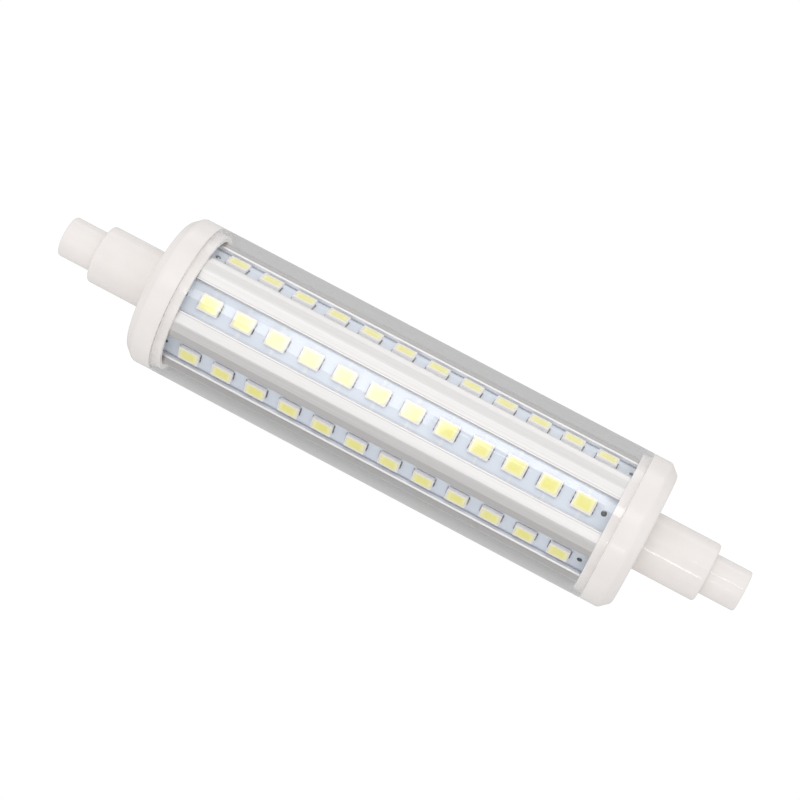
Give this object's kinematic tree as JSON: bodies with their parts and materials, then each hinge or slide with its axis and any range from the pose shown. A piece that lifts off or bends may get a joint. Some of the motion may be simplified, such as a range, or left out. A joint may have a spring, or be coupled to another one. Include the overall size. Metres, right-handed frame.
{
  "type": "linear led bulb",
  "caption": "Double-ended LED lamp: a clear tube round a faceted aluminium core of LED strips, white end caps, and a stepped sleeve with a recessed contact at each end.",
  "frame": {"origin": "middle of the lamp, on the axis of its tube", "axes": "+X along the lamp to its right end, +Z out of the strip that faces up"},
  "size_m": [0.118, 0.0248, 0.0248],
  "materials": {
    "clear_plastic": "clear, polished polycarbonate",
    "cap_plastic": "warm white, softly glossy moulding",
    "sleeve_plastic": "warm white, softly glossy moulding",
    "contact_metal": "nickel plated, turned",
    "core_aluminium": "bright mill finish with fine lines along the lamp",
    "solder": "dull tin with a dark flux edge",
    "strip_mask": "bluish white solder mask, satin",
    "led_plastic": "white package plastic",
    "phosphor": "yellow silicone fill, slightly shiny",
    "tinned_terminal": "tinned copper",
    "driver_laminate": "green solder mask",
    "black_epoxy": "moulded black epoxy",
    "resistor_lacquer": "lacquer coat",
    "capacitor_sleeve": "shrunk plastic sleeve",
    "wire_insulation": "soft insulation",
    "tinned_wire": "tinned copper wire"
  },
  "bodies": {
    "root": {"clear_tube": "clear_plastic", "right_end_cap": "cap_plastic", "left_end_cap": "cap_plastic", "right_base_sleeve": "sleeve_plastic", "left_base_sleeve": "sleeve_plastic", "right_contact": "contact_metal", "left_contact": "contact_metal", "heat_sink_core": "core_aluminium", "strip_solder_pads": "solder", "driver_board": "driver_laminate", "bridge_rectifier": "black_epoxy", "fusible_resistor": "resistor_lacquer", "bulk_capacitor": "capacitor_sleeve", "driver_chip": "black_epoxy", "sense_resistors": "black_epoxy", "right_mains_wire": "wire_insulation", "left_mains_wire": "wire_insulation", "right_feed_wires": "tinned_wire", "left_feed_wires": "tinned_wire", "right_link_wires": "tinned_wire", "left_link_wires": "tinned_wire", "led_strip_1": "strip_mask", "led_housings_1": "led_plastic", "led_phosphors_1": "phosphor", "led_terminals_1": "tinned_terminal", "led_strip_2": "strip_mask", "led_housings_2": "led_plastic", "led_phosphors_2": "phosphor", "led_terminals_2": "tinned_terminal", "led_strip_3": "strip_mask", "led_housings_3": "led_plastic", "led_phosphors_3": "phosphor", "led_terminals_3": "tinned_terminal", "led_strip_4": "strip_mask", "led_housings_4": "led_plastic", "led_phosphors_4": "phosphor", "led_terminals_4": "tinned_terminal", "led_strip_5": "strip_mask", "led_housings_5": "led_plastic", "led_phosphors_5": "phosphor", "led_terminals_5": "tinned_terminal", "led_strip_6": "strip_mask", "led_housings_6": "led_plastic", "led_phosphors_6": "phosphor", "led_terminals_6": "tinned_terminal"}
  },
  "joints": []
}
